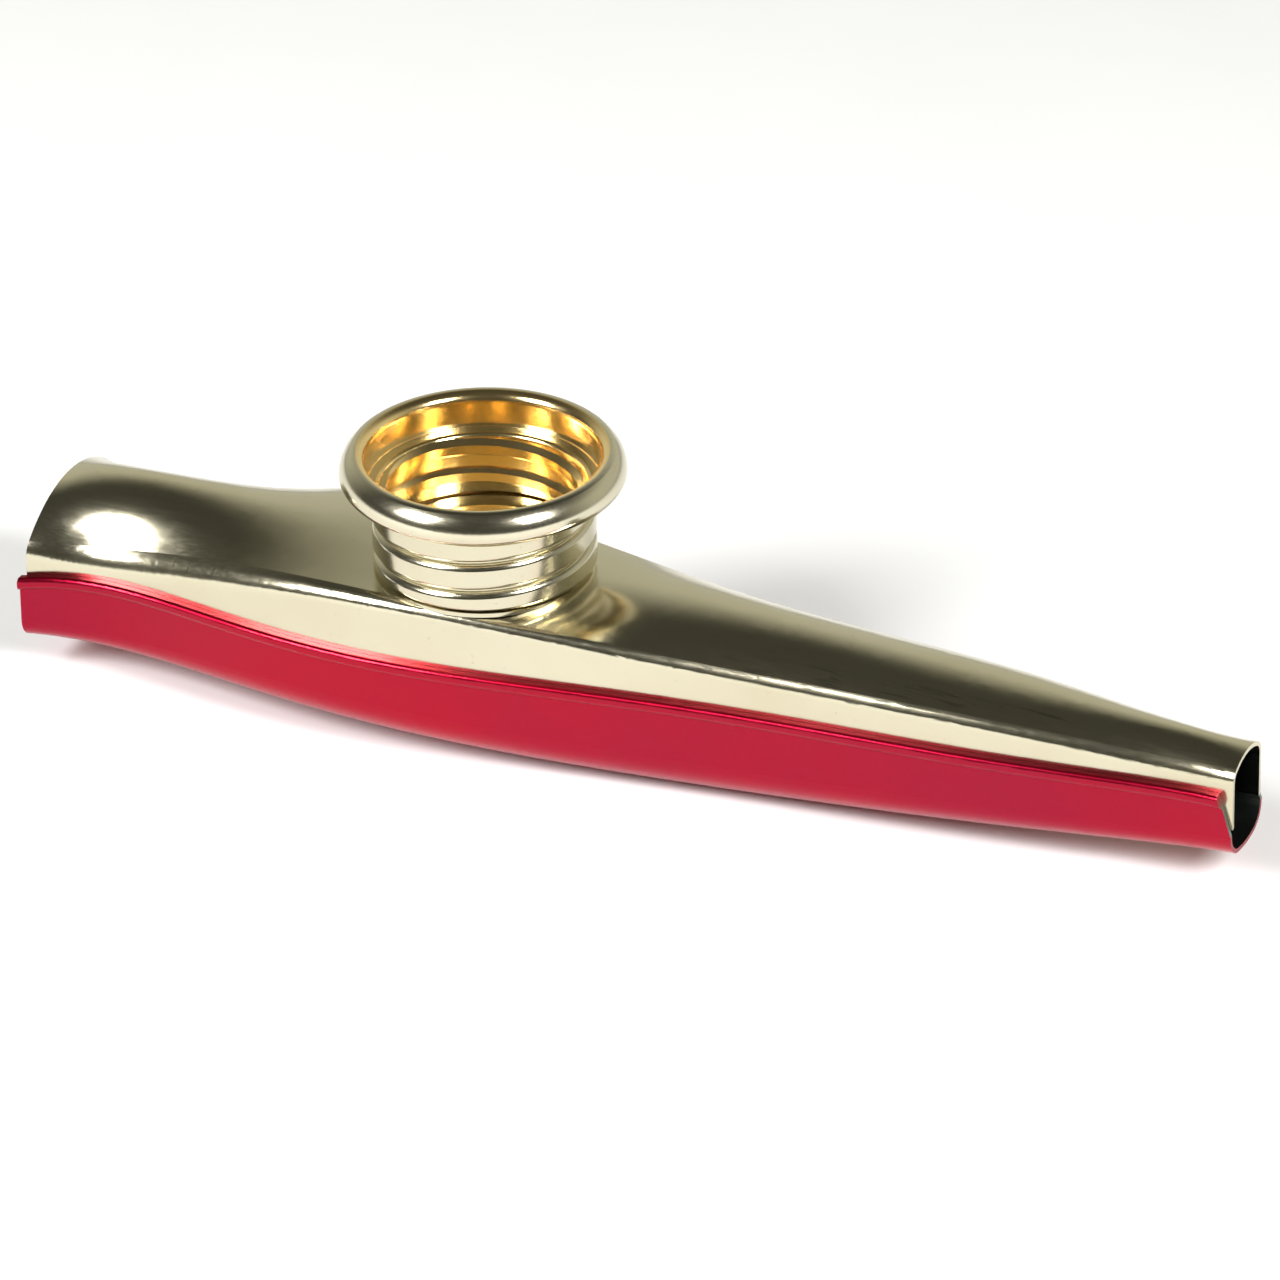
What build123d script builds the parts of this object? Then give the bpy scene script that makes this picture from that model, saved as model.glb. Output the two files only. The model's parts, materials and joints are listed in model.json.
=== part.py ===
from build123d import *
import os

# Pressed-metal kazoo: two shells that nest along a seam, a threaded turret, a screw cap
# and a film resonator.  Millimetres, +Z up along the turret axis, X from the mouth end
# (-X) to the small end (+X).  The origin is on the resting plane, midway along the body.

length = 120.0          # overall, mouth end to small end
sheet = 0.40            # tinplate thickness
seam_z = 10.42          # height of the seam plane above the resting plane
nest_gap = 0.03         # clearance between upper skirt and lower wall
skirt = 3.6             # how far the upper shell reaches below the seam
lip_out = 0.55          # rolled edge of the lower shell, outward
lip_high = 1.0          # rolled edge of the lower shell, height
mouth_lap = 0.45        # lower shell stands proud of the upper one at the mouth
notch_back = 1.3        # lower shell set back at the seam, small end
notch_deep = 4.2        # depth at which that set-back has run out
body_gap = 0.05         # between pieces that move apart

turret_x = -16.0        # turret axis
pad_z = seam_z + 6.12   # flat seat pressed into the crown
pad_r = 9.8             # outside of the turret's foot
seat_r = 10.0           # the pressed seat
neck_r = 10.50          # outside of the turret's thread bands
neck_top = seam_z + 13.7
eyelet_r = 7.2          # outside of the crimped eyelet
pitch = 2.92            # rolled thread, right hand
wave = 0.60             # depth of the rolled thread
thread_low = seam_z + 7.35
thread_high = seam_z + 12.6
thread_run_out = seam_z + 13.87
thread_phase = 140.5    # angle at which the turret's thread starts

cap_r = 9.97            # outside of the cap sleeve, inside the turret's bands
cap_sheet = 0.35
shoulder_z = neck_top + 0.50
rim_top = seam_z + 17.95
rim_r = 13.42           # widest edge of the rolled rim
mouth_r = 10.90         # opening inside the rim

frame_r = 9.35          # resonator rings, slip through the turret's thread
frame_hole_r = 7.30
frame_high = 0.70
film_high = 0.06
seat_z = pad_z + sheet + 0.01 + body_gap
sleeve_low = seat_z + 2 * frame_high + film_high + body_gap
turret_plane = Plane.XZ.offset(0).move(Location((turret_x, 0, 0)))
turret_axis = Axis((turret_x, 0, 0), (0, 0, 1))

# Body stations: distance from the mouth end, half width, corner height, corner radius
# and crown height of the upper shell, then depth, belly rise and corner radius below.
stations = [
    (0.0, 9.55, 2.75, 1.90, 6.35, 7.25, 0.4, 2.3),
    (24.0, 9.60, 4.80, 2.20, 6.90, 8.80, 1.0, 3.2),
    (44.0, 10.15, 5.85, 1.10, 6.30, 9.80, 1.2, 4.0),
    (60.0, 8.15, 4.35, 1.10, 6.35, 10.40, 1.2, 4.0),
    (84.0, 6.10, 3.25, 1.40, 5.45, 9.65, 1.2, 3.6),
    (104.0, 4.60, 2.45, 1.50, 4.20, 8.20, 1.0, 3.0),
    (120.0, 3.55, 1.90, 1.50, 3.05, 6.95, 0.8, 2.5),
]


def ring(z, outer_r, inner_r, high):
    """Washer on the turret axis, its underside at z."""
    with BuildSketch(Plane.XY.offset(z)) as washer:
        with Locations((turret_x, 0)):
            Circle(outer_r)
            Circle(inner_r, mode=Mode.SUBTRACT)
    extrude(washer.sketch, amount=high)


def thread_spine(radius, low, high):
    """Right-hand helix on the turret axis, in phase with every other one made here."""
    phase = thread_phase + 360 * (low - thread_low) / pitch
    spine = Helix(pitch=pitch, height=high - low, radius=radius, mode=Mode.PRIVATE)
    return Pos(turret_x, 0, low) * Rotation(0, 0, phase) * spine


def tooth_plane(spine):
    """Plane across the start of a helix: x outward from the axis, y up."""
    start = spine @ 0
    outward = Vector(start.X - turret_x, start.Y, 0)
    return Plane(origin=start, x_dir=outward, z_dir=spine % 0)


def tooth(spine, depth, tip, root, mode):
    """Sweep a straight-sided tooth that points at the axis, by its half widths."""
    with BuildSketch(tooth_plane(spine)) as profile:
        with BuildLine():
            Polyline((-depth, -tip), (0.05, -root), (0.05, root), (-depth, tip), close=True)
        make_face()
    sweep(profile.sketch, path=spine, is_frenet=True, mode=mode)


def section_plane(along):
    """Plane across the body at a distance from the mouth end."""
    return Plane.YZ.offset(along - length / 2)


def crown_profile(half, corner, crown, foot):
    """Closed arch: straight sides up to the corners, a shallow crown between them."""
    Line((-half, seam_z + foot), (-half, seam_z + corner))
    ThreePointArc((-half, seam_z + corner), (0, seam_z + crown), (half, seam_z + corner))
    Polyline((half, seam_z + corner), (half, seam_z + foot), (-half, seam_z + foot))


def trough_profile(half, depth, rise, top):
    """Closed trough: straight sides down to the corners, a shallow belly between them."""
    knee = seam_z - depth + rise
    Line((half, seam_z + top), (half, knee))
    ThreePointArc((half, knee), (0, seam_z - depth), (-half, knee))
    Polyline((-half, knee), (-half, seam_z + top), (half, seam_z + top))


# Upper shell: arched channel whose skirts tuck inside the lower shell.
with BuildPart() as upper_shell:
    for along, half, corner, round_r, crown, depth, rise, low_r in stations:
        with BuildSketch(section_plane(along)) as outer:
            with BuildLine():
                crown_profile(half, corner, crown, -skirt)
            make_face()
            fillet(outer.vertices().sort_by(Axis.Y)[2:], round_r)
    loft()
    for along, half, corner, round_r, crown, depth, rise, low_r in stations:
        with BuildSketch(section_plane(along)) as inner:
            with BuildLine():
                crown_profile(half - sheet, corner - sheet * 0.7, crown - sheet, -skirt - 1)
            make_face()
            fillet(inner.vertices().sort_by(Axis.Y)[2:], round_r - sheet)
    loft(mode=Mode.SUBTRACT)
    # The mouth end is trimmed back so that the lower shell stands proud.
    with Locations((-length / 2, 0, seam_z)):
        Box(2 * mouth_lap, 40, 40, mode=Mode.SUBTRACT)
    # Flat round seat for the turret, with the eyelet hole through it.
    with BuildSketch(Plane.XY.offset(pad_z - sheet)):
        with Locations((turret_x, 0)):
            Circle(seat_r)
    extrude(amount=sheet)
    with BuildSketch(Plane.XY.offset(pad_z)):
        with Locations((turret_x, 0)):
            Circle(seat_r + 0.01)
    extrude(amount=3, mode=Mode.SUBTRACT)
    with BuildSketch(Plane.XY.offset(pad_z - sheet)):
        with Locations((turret_x, 0)):
            Circle(eyelet_r + 1.5)
    extrude(amount=-2, mode=Mode.SUBTRACT)
    with BuildSketch(Plane.XY.offset(pad_z - 3)):
        with Locations((turret_x, 0)):
            Circle(eyelet_r + nest_gap)
    extrude(amount=6, mode=Mode.SUBTRACT)

# Lower shell: deeper channel with a rolled edge along the seam.
with BuildPart() as lower_shell:
    for along, half, corner, round_r, crown, depth, rise, low_r in stations:
        with BuildSketch(section_plane(along)) as outer:
            with BuildLine():
                trough_profile(half + nest_gap + sheet, depth, rise, 0)
            make_face()
            fillet(outer.vertices().sort_by(Axis.Y)[:2], low_r)
    loft()
    for side in (-1, 1):
        for along, half, corner, round_r, crown, depth, rise, low_r in stations:
            wall = half + nest_gap + sheet
            with BuildSketch(section_plane(along)) as lip:
                with BuildLine():
                    Polyline(
                        (side * (wall - 0.2), seam_z),
                        (side * (wall + lip_out), seam_z),
                        (side * (wall + lip_out), seam_z - lip_high),
                        (side * (wall - 0.2), seam_z - lip_high - 0.5),
                        close=True,
                    )
                make_face()
                rim = lip.vertices().sort_by(Axis.X)
                fillet(rim[:2] if side < 0 else rim[2:], 0.42)
        loft()
    for along, half, corner, round_r, crown, depth, rise, low_r in stations:
        with BuildSketch(section_plane(along)) as inner:
            with BuildLine():
                trough_profile(half + nest_gap, depth - sheet, rise, 1)
            make_face()
            fillet(inner.vertices().sort_by(Axis.Y)[:2], low_r - sheet)
    loft(mode=Mode.SUBTRACT)
    # The small end is cut back at the seam, running out towards the belly.
    with BuildSketch(Plane.XZ) as notch:
        with BuildLine():
            Polyline(
                (length / 2 - notch_back, seam_z + 1),
                (length / 2 - notch_back, seam_z),
                (length / 2, seam_z - notch_deep),
                (length / 2 + 1, seam_z + 1),
                close=True,
            )
        make_face()
    extrude(amount=20, both=True, mode=Mode.SUBTRACT)

# Turret: drawn collar with a rolled thread, a floor to seat the film and a crimped eyelet.
with BuildPart() as turret:
    with BuildSketch(turret_plane):
        with BuildLine():
            FilletPolyline(
                (eyelet_r + 1.3, pad_z - 1.5 * sheet - 0.03),
                (eyelet_r - sheet / 2, pad_z - 1.5 * sheet - 0.03),
                (eyelet_r - sheet / 2, pad_z + sheet / 2 + 0.01),
                (pad_r - sheet / 2, pad_z + sheet / 2 + 0.01),
                (neck_r - sheet / 2, pad_z + 0.75),
                (neck_r - sheet / 2, neck_top - sheet / 2),
                radius=0.25,
            )
        trace(line_width=sheet)
    revolve(axis=turret_axis)
    # The thread stands in as a rib inside, and outside as the groove behind that rib.
    tooth(thread_spine(neck_r - sheet, thread_low, thread_high), wave, 0.30, 0.85, Mode.ADD)
    groove = thread_spine(neck_r, thread_low, thread_high)
    with BuildSketch(tooth_plane(groove)) as groove_profile:
        with BuildLine():
            Line((-wave, -0.08), (-wave, 0.08))
            ThreePointArc((-wave, 0.08), (-0.3 * wave, 0.34), (0.02, 1.05))
            Polyline((0.02, 1.05), (0.3, 1.05), (0.3, -1.05), (0.02, -1.05))
            ThreePointArc((0.02, -1.05), (-0.3 * wave, -0.34), (-wave, -0.08))
        make_face()
    sweep(groove_profile.sketch, path=groove, is_frenet=True, mode=Mode.SUBTRACT)

# Screw cap: threaded sleeve that turns inside the turret, opening into a rolled rim.
with BuildPart() as screw_cap:
    with BuildSketch(turret_plane):
        with BuildLine():
            FilletPolyline(
                (cap_r - cap_sheet / 2, sleeve_low + cap_sheet / 2),
                (cap_r - cap_sheet / 2, shoulder_z),
                (mouth_r + cap_sheet / 2, shoulder_z + 0.05),
                (mouth_r + cap_sheet / 2, rim_top - 0.95),
                radius=0.30,
            )
            # Rolled bead: over the top, down the bevel and back under the edge.
            ThreePointArc(
                (mouth_r + cap_sheet / 2, rim_top - 0.95),
                (mouth_r + 0.62, rim_top - 0.26),
                (mouth_r + 1.40, rim_top - 0.28),
            )
            ThreePointArc(
                (mouth_r + 1.40, rim_top - 0.28),
                (rim_r - 0.48, rim_top - 1.05),
                (rim_r - cap_sheet / 2, rim_top - 2.15),
            )
            ThreePointArc(
                (rim_r - cap_sheet / 2, rim_top - 2.15),
                (rim_r - 0.47, rim_top - 2.70),
                (rim_r - 1.30, rim_top - 2.78),
            )
        trace(line_width=cap_sheet)
    revolve(axis=turret_axis)
    low = thread_low - pitch / 2
    tooth(thread_spine(cap_r - cap_sheet, low, thread_run_out), wave, 0.45, 0.95, Mode.ADD)
    tooth(thread_spine(cap_r, low, thread_high + 0.35), wave, 0.42, 1.05, Mode.SUBTRACT)
    # The rib is trimmed off level with the sleeve's lower edge and under the shoulder's top.
    with BuildSketch(Plane.XY.offset(sleeve_low)):
        with Locations((turret_x, 0)):
            Circle(rim_r)
    extrude(amount=-6, mode=Mode.SUBTRACT)
    with BuildSketch(Plane.XY.offset(shoulder_z - 0.02)):
        with Locations((turret_x, 0)):
            Circle(cap_r - cap_sheet + 0.08)
    extrude(amount=6, mode=Mode.SUBTRACT)

# Resonator: a film held between two rings, dropped into the turret under the cap.
with BuildPart() as lower_ring:
    ring(seat_z, frame_r, frame_hole_r, frame_high)
with BuildPart() as membrane:
    with BuildSketch(Plane.XY.offset(seat_z + frame_high)):
        with Locations((turret_x, 0)):
            Circle(frame_r - 0.1)
    extrude(amount=film_high)
with BuildPart() as upper_ring:
    ring(seat_z + frame_high + film_high, frame_r, frame_hole_r, frame_high)

upper_shell.part.label = "upper_shell"
lower_shell.part.label = "lower_shell"
turret.part.label = "turret"
screw_cap.part.label = "screw_cap"
lower_ring.part.label = "lower_ring"
membrane.part.label = "membrane"
upper_ring.part.label = "upper_ring"

os.makedirs("parts", exist_ok=True)
export_step(upper_shell.part, "parts/upper_shell.step")
export_step(lower_shell.part, "parts/lower_shell.step")
export_step(turret.part, "parts/turret.step")
export_step(screw_cap.part, "parts/screw_cap.step")
export_step(lower_ring.part, "parts/lower_ring.step")
export_step(membrane.part, "parts/membrane.step")
export_step(upper_ring.part, "parts/upper_ring.step")
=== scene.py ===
import json
import math
import bpy
from mathutils import Matrix, Vector


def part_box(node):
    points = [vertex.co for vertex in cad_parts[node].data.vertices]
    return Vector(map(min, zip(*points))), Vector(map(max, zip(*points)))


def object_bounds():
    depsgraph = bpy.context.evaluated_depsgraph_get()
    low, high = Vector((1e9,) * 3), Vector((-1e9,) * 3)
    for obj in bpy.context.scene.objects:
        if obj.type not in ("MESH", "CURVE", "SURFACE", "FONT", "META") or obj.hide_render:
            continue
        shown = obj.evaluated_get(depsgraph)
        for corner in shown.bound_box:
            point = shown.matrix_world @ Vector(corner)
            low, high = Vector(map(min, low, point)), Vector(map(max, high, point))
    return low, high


# Pressed-metal kazoo: materials, room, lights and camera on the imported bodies. Metres throughout.
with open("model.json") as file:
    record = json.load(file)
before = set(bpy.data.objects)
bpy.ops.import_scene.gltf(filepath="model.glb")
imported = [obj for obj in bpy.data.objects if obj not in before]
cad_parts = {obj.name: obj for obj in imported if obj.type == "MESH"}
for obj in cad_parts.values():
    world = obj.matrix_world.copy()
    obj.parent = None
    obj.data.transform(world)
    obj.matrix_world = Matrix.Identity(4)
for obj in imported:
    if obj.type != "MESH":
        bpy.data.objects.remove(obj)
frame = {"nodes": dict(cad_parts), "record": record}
cad_low, cad_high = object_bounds()

# Driving places, read from the frame: the cap opening, on the turret's axis, and the shells' seam.
TURRET = Vector(frame["record"]["mounts"][0]["pos_m"])
SEAM_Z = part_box("lower_shell")[1].z

# Camera, solved from the photograph's outlines.
CAMERA_AZIMUTH = math.radians(24.56)
CAMERA_ELEVATION = math.radians(29.84)
CAMERA_ROLL = math.radians(-0.94)
CAMERA_DISTANCE = 0.9084
CAMERA_LENS = 275.1
AIM = Vector((-0.0003, 0.0, 0.0115))

# Colours, linear.
PALE_GOLD = (0.66, 0.615, 0.465, 1)
DULL_GOLD = (0.62, 0.57, 0.41, 1)
FLECK_GOLD = (0.50, 0.46, 0.33, 1)
SCUFF_DARK = (0.16, 0.16, 0.12, 1)
RICH_GOLD = (0.97, 0.74, 0.36, 1)
# Bare tin inside both shells, made dark as painted shade for the hollow.
TIN_WITH_PAINTED_SHADE = (0.16, 0.18, 0.16, 1)
RED = (0.40, 0.004, 0.022, 1)
DEEP_RED = (0.34, 0.006, 0.030, 1)
# The film's gold tint is a painted reflection of the gold walls round it.
PAINTED_GOLD_REFLECTION_PALE = (0.95, 0.80, 0.46, 1)
PAINTED_GOLD_REFLECTION_DARK = (0.90, 0.70, 0.34, 1)
FLOOR_PALE = (0.97, 0.97, 0.97, 1)
FLOOR_DULL = (0.95, 0.95, 0.95, 1)
ROOM_DIM = (0.060, 0.060, 0.048, 1)
ROOM_BRIGHT = (0.62, 0.61, 0.50, 1)

# Marks, in cells per metre along X, Y and Z. Few along X give lines that run lengthwise.
GOLD_BRUSHING = (120, 5200, 5200)
LACQUER_BRUSHING = (90, 3000, 3000)
SCUFF_GRAIN = (260, 3200, 900)

# Scuffs lie along the line Y = SCUFF_SLOPE * X - SCUFF_OFFSET. Each pair runs from none to full.
SCUFF_SLOPE = 0.085
SCUFF_OFFSET = 0.0066
SCUFF_OFF_LINE = (0.0011, 0.0004)
SCUFF_START_X = (0.006, 0.012)
SCUFF_END_X = (0.048, 0.040)
SCUFF_ABOVE_SEAM = (0.0015, 0.0025)
SCUFF_STRENGTH = 0.55

INWARD_FADE = (0.02, 0.12)      # how squarely a surface faces in before the inside colour shows
FLOOR_DROP = 0.0002             # keeps the floor off the belly
FLOOR_SIZE = 6.0


class Nodes:
    """Small helper for building a material's node tree."""

    def __init__(self, tree):
        self.tree = tree

    def add(self, kind, **values):
        node = self.tree.nodes.new("ShaderNode" + kind)
        for name, value in values.items():
            if hasattr(node, name):
                setattr(node, name, value)
            else:
                node.inputs[name.replace("_", " ")].default_value = value
        return node

    def link(self, source, target):
        self.tree.links.new(source, target)

    def math(self, operation, first, second=None, third=None):
        node = self.add("Math", operation=operation)
        for socket, value in zip(node.inputs, (first, second, third)):
            if isinstance(value, (int, float)):
                socket.default_value = value
            elif value is not None:
                self.link(value, socket)
        return node.outputs[0]

    def raised(self, factor, share, least):
        """least + share * factor."""
        return self.math("MULTIPLY_ADD", factor, share, least)

    def ramp(self, factor, low, high):
        """Factor remapped from low..high to 0..1."""
        node = self.add("MapRange")
        node.interpolation_type = "SMOOTHSTEP"
        node.inputs["From Min"].default_value = low
        node.inputs["From Max"].default_value = high
        self.link(factor, node.inputs["Value"])
        return node.outputs["Result"]

    def mix(self, factor, first, second):
        node = self.add("Mix")
        node.data_type = "RGBA"
        for socket, value in ((node.inputs[0], factor), (node.inputs[6], first), (node.inputs[7], second)):
            if hasattr(value, "links"):
                self.link(value, socket)
            else:
                socket.default_value = value
        return node.outputs[2]

    def noise(self, vector, scale, detail=3.0, roughness=0.5):
        node = self.add("TexNoise")
        node.inputs["Scale"].default_value = scale
        node.inputs["Detail"].default_value = detail
        node.inputs["Roughness"].default_value = roughness
        self.link(vector, node.inputs["Vector"])
        return node.outputs["Fac"]

    def stretched(self, vector, scale):
        """Coordinates scaled per axis, for marks that run one way."""
        node = self.add("Mapping")
        node.inputs["Scale"].default_value = scale
        self.link(vector, node.inputs["Vector"])
        return node.outputs["Vector"]


def material(name):
    made = bpy.data.materials.new(name)
    made.use_nodes = True
    made.node_tree.nodes.clear()
    nodes = Nodes(made.node_tree)
    shader = nodes.add("BsdfPrincipled")
    output = nodes.add("OutputMaterial")
    nodes.link(shader.outputs["BSDF"], output.inputs["Surface"])
    place = nodes.add("TexCoord").outputs["Object"]
    return made, nodes, shader, place


def bump(nodes, shader, height, strength, distance):
    node = nodes.add("Bump")
    node.inputs["Strength"].default_value = strength
    node.inputs["Distance"].default_value = distance
    nodes.link(height, node.inputs["Height"])
    nodes.link(node.outputs["Normal"], shader.inputs["Normal"])


def facing_in(nodes, place, centre, along):
    """1 where a surface faces the axis through centre, 0 where it faces away."""
    axis_free = [0.0 if axis == along else 1.0 for axis in "XYZ"]
    offset = nodes.add("VectorMath", operation="SUBTRACT")
    offset.inputs[1].default_value = centre
    nodes.link(place, offset.inputs[0])
    radial = nodes.add("VectorMath", operation="MULTIPLY")
    radial.inputs[1].default_value = axis_free
    nodes.link(offset.outputs[0], radial.inputs[0])
    unit = nodes.add("VectorMath", operation="NORMALIZE")
    nodes.link(radial.outputs[0], unit.inputs[0])
    dot = nodes.add("VectorMath", operation="DOT_PRODUCT")
    nodes.link(unit.outputs[0], dot.inputs[0])
    nodes.link(nodes.add("TexCoord").outputs["Normal"], dot.inputs[1])
    return nodes.ramp(nodes.math("MULTIPLY", dot.outputs["Value"], -1.0), *INWARD_FADE)


def shoulder_scuffs(nodes, place):
    """1 on small dark scuffs in a narrow band along the -Y shoulder, towards the small end."""
    parts = nodes.add("SeparateXYZ")
    nodes.link(place, parts.inputs[0])
    slope = nodes.math("MULTIPLY", parts.outputs["X"], -SCUFF_SLOPE)
    line = nodes.math("ADD", parts.outputs["Y"], slope)
    off = nodes.math("ABSOLUTE", nodes.math("ADD", line, SCUFF_OFFSET))
    band = nodes.ramp(off, *SCUFF_OFF_LINE)
    start = nodes.ramp(parts.outputs["X"], *SCUFF_START_X)
    stop = nodes.ramp(parts.outputs["X"], *SCUFF_END_X)
    grain = nodes.noise(nodes.stretched(place, SCUFF_GRAIN), scale=1.0, detail=4.0)
    marks = nodes.ramp(grain, 0.52, 0.74)
    above_low, above_high = SCUFF_ABOVE_SEAM
    top = nodes.ramp(parts.outputs["Z"], SEAM_Z + above_low, SEAM_Z + above_high)
    ends = nodes.math("MULTIPLY", band, start)
    kept = nodes.math("MULTIPLY", ends, nodes.math("MULTIPLY", stop, top))
    return nodes.math("MULTIPLY", nodes.math("MULTIPLY", kept, marks), SCUFF_STRENGTH)


def brushed_gold(name, inside, centre, along, scuffed=False):
    """Pale gold tinplate, faintly brushed lengthwise, with another colour inside."""
    made, nodes, shader, place = material(name)
    grain = nodes.noise(nodes.stretched(place, GOLD_BRUSHING), scale=1.0, detail=4.0)
    cloud = nodes.noise(place, scale=55.0, detail=3.0)
    fleck = nodes.noise(place, scale=2600.0, detail=2.0)
    tone = nodes.mix(nodes.ramp(cloud, 0.35, 0.7), PALE_GOLD, DULL_GOLD)
    tone = nodes.mix(nodes.ramp(fleck, 0.66, 0.80), tone, FLECK_GOLD)
    if scuffed:
        tone = nodes.mix(shoulder_scuffs(nodes, place), tone, SCUFF_DARK)
    # Inward faces take the inside colour; in the shell that colour is painted shade.
    inward = facing_in(nodes, place, centre, along)
    nodes.link(nodes.mix(inward, tone, inside), shader.inputs["Base Color"])
    shader.inputs["Metallic"].default_value = 1.0
    rough = nodes.raised(grain, share=0.10, least=0.10)
    rough = nodes.math("ADD", rough, nodes.math("MULTIPLY", cloud, 0.05))
    nodes.link(rough, shader.inputs["Roughness"])
    height = nodes.math("ADD", nodes.math("MULTIPLY", grain, 0.5), nodes.math("MULTIPLY", fleck, 0.3))
    bump(nodes, shader, height, strength=0.08, distance=0.00002)
    return made


def red_lacquer():
    """Red metal under a thin clear coat, with bare tin inside, darkened as painted shade."""
    made, nodes, shader, place = material("red_lacquer")
    cloud = nodes.noise(place, scale=40.0, detail=4.0)
    grain = nodes.noise(nodes.stretched(place, LACQUER_BRUSHING), scale=1.0, detail=3.0)
    tone = nodes.mix(nodes.ramp(cloud, 0.3, 0.75), RED, DEEP_RED)
    # Inward faces get the dark tin: painted shade inside the shell.
    inward = facing_in(nodes, place, (0, 0, SEAM_Z), "X")
    nodes.link(nodes.mix(inward, tone, TIN_WITH_PAINTED_SHADE), shader.inputs["Base Color"])
    shader.inputs["Metallic"].default_value = 1.0
    rough = nodes.raised(grain, share=0.12, least=0.26)
    nodes.link(rough, shader.inputs["Roughness"])
    shader.inputs["Coat Weight"].default_value = 0.25
    shader.inputs["Coat Roughness"].default_value = 0.08
    bump(nodes, shader, grain, strength=0.06, distance=0.00002)
    return made


def waxed_film():
    """Thin waxed film, tinted gold as a painted reflection of the gold round it."""
    made, nodes, shader, place = material("waxed_film")
    cloud = nodes.noise(place, scale=260.0, detail=3.0)
    # Gold tint is a painted reflection of the walls; pale and dark vary at random.
    tone = nodes.mix(nodes.ramp(cloud, 0.3, 0.7), PAINTED_GOLD_REFLECTION_PALE, PAINTED_GOLD_REFLECTION_DARK)
    nodes.link(tone, shader.inputs["Base Color"])
    shader.inputs["Roughness"].default_value = 0.22
    shader.inputs["Metallic"].default_value = 0.85
    bump(nodes, shader, cloud, strength=0.25, distance=0.0001)
    return made


def dress(node, look):
    """Give a CAD node its material."""
    for slot in frame["nodes"][node].material_slots:
        slot.material = look


shell_axis = (0, 0, SEAM_Z)
cap_axis = (TURRET.x, TURRET.y, 0)
turned_gold = brushed_gold("turned_gold", RICH_GOLD, cap_axis, "Z")
# The shell's inward faces get the dark tin: painted shade inside the hollow.
dress("upper_shell", brushed_gold("shell_gold", TIN_WITH_PAINTED_SHADE, shell_axis, "X", scuffed=True))
dress("lower_shell", red_lacquer())
dress("turret", turned_gold)
dress("screw_cap", turned_gold)
dress("lower_ring", turned_gold)
dress("upper_ring", turned_gold)
dress("membrane", waxed_film())


def floor():
    """Plain pale floor under the part."""
    bpy.ops.mesh.primitive_plane_add(size=FLOOR_SIZE, location=(0, 0, cad_low.z - FLOOR_DROP))
    plane = bpy.context.object
    plane.name = "floor"
    made, nodes, shader, place = material("floor_white")
    grain = nodes.noise(place, scale=40.0)
    tone = nodes.mix(nodes.ramp(grain, 0.2, 0.8), FLOOR_PALE, FLOOR_DULL)
    nodes.link(tone, shader.inputs["Base Color"])
    shader.inputs["Roughness"].default_value = 0.9
    plane.data.materials.append(made)


def toward(azimuth, elevation):
    """Unit vector from the part, azimuth 0 towards -Y and 90 towards +X."""
    a, e = math.radians(azimuth), math.radians(elevation)
    return Vector((math.sin(a) * math.cos(e), -math.cos(a) * math.cos(e), math.sin(e)))


def softbox(name, azimuth, elevation, distance, width, height, power):
    """Rectangular light that faces the part. Power in watts, sizes in metres."""
    light = bpy.data.lights.new(name, "AREA")
    light.shape = "RECTANGLE"
    light.size = width
    light.size_y = height
    light.energy = power
    holder = bpy.data.objects.new(name, light)
    back = toward(azimuth, elevation)
    holder.location = AIM + back * distance
    holder.rotation_euler = back.to_track_quat("Z", "Y").to_euler()
    bpy.context.collection.objects.link(holder)


def surroundings():
    """Room round the part: pale behind, dim overhead and in front."""
    world = bpy.data.worlds.new("studio")
    bpy.context.scene.world = world
    world.use_nodes = True
    world.node_tree.nodes.clear()
    nodes = Nodes(world.node_tree)
    way = nodes.add("TexCoord").outputs["Generated"]
    parts = nodes.add("SeparateXYZ")
    nodes.link(way, parts.inputs[0])
    behind = nodes.ramp(parts.outputs["Y"], -0.25, 0.65)
    low = nodes.ramp(nodes.math("MULTIPLY", parts.outputs["Z"], -1.0), -0.85, -0.35)
    level = nodes.math("MULTIPLY", behind, low)
    glow = nodes.mix(level, ROOM_DIM, ROOM_BRIGHT)
    sky = nodes.add("Background")
    nodes.link(glow, sky.inputs["Color"])
    output = nodes.add("OutputWorld")
    nodes.link(sky.outputs[0], output.inputs["Surface"])


floor()
surroundings()
softbox("left_softbox", azimuth=-35, elevation=36, distance=0.7, width=0.26, height=0.30, power=5.5)
softbox("right_softbox", azimuth=68, elevation=38, distance=0.7, width=0.22, height=0.24, power=4.6)


def photograph_camera():
    """Long-lens camera at the photograph's angle."""
    data = bpy.data.cameras.new("camera")
    data.sensor_width = 36
    data.lens = CAMERA_LENS
    data.clip_start = 0.05
    data.clip_end = 20
    camera = bpy.data.objects.new("camera", data)
    back = toward(math.degrees(CAMERA_AZIMUTH), math.degrees(CAMERA_ELEVATION))
    level = Vector((math.cos(CAMERA_AZIMUTH), math.sin(CAMERA_AZIMUTH), 0))
    upright = back.cross(level)
    right = level * math.cos(CAMERA_ROLL) + upright * math.sin(CAMERA_ROLL)
    up = upright * math.cos(CAMERA_ROLL) - level * math.sin(CAMERA_ROLL)
    turn = Matrix((right, up, back)).transposed()
    camera.matrix_world = Matrix.Translation(AIM + back * CAMERA_DISTANCE) @ turn.to_4x4()
    bpy.context.collection.objects.link(camera)
    bpy.context.scene.camera = camera


photograph_camera()
bpy.context.scene.view_settings.view_transform = "Standard"
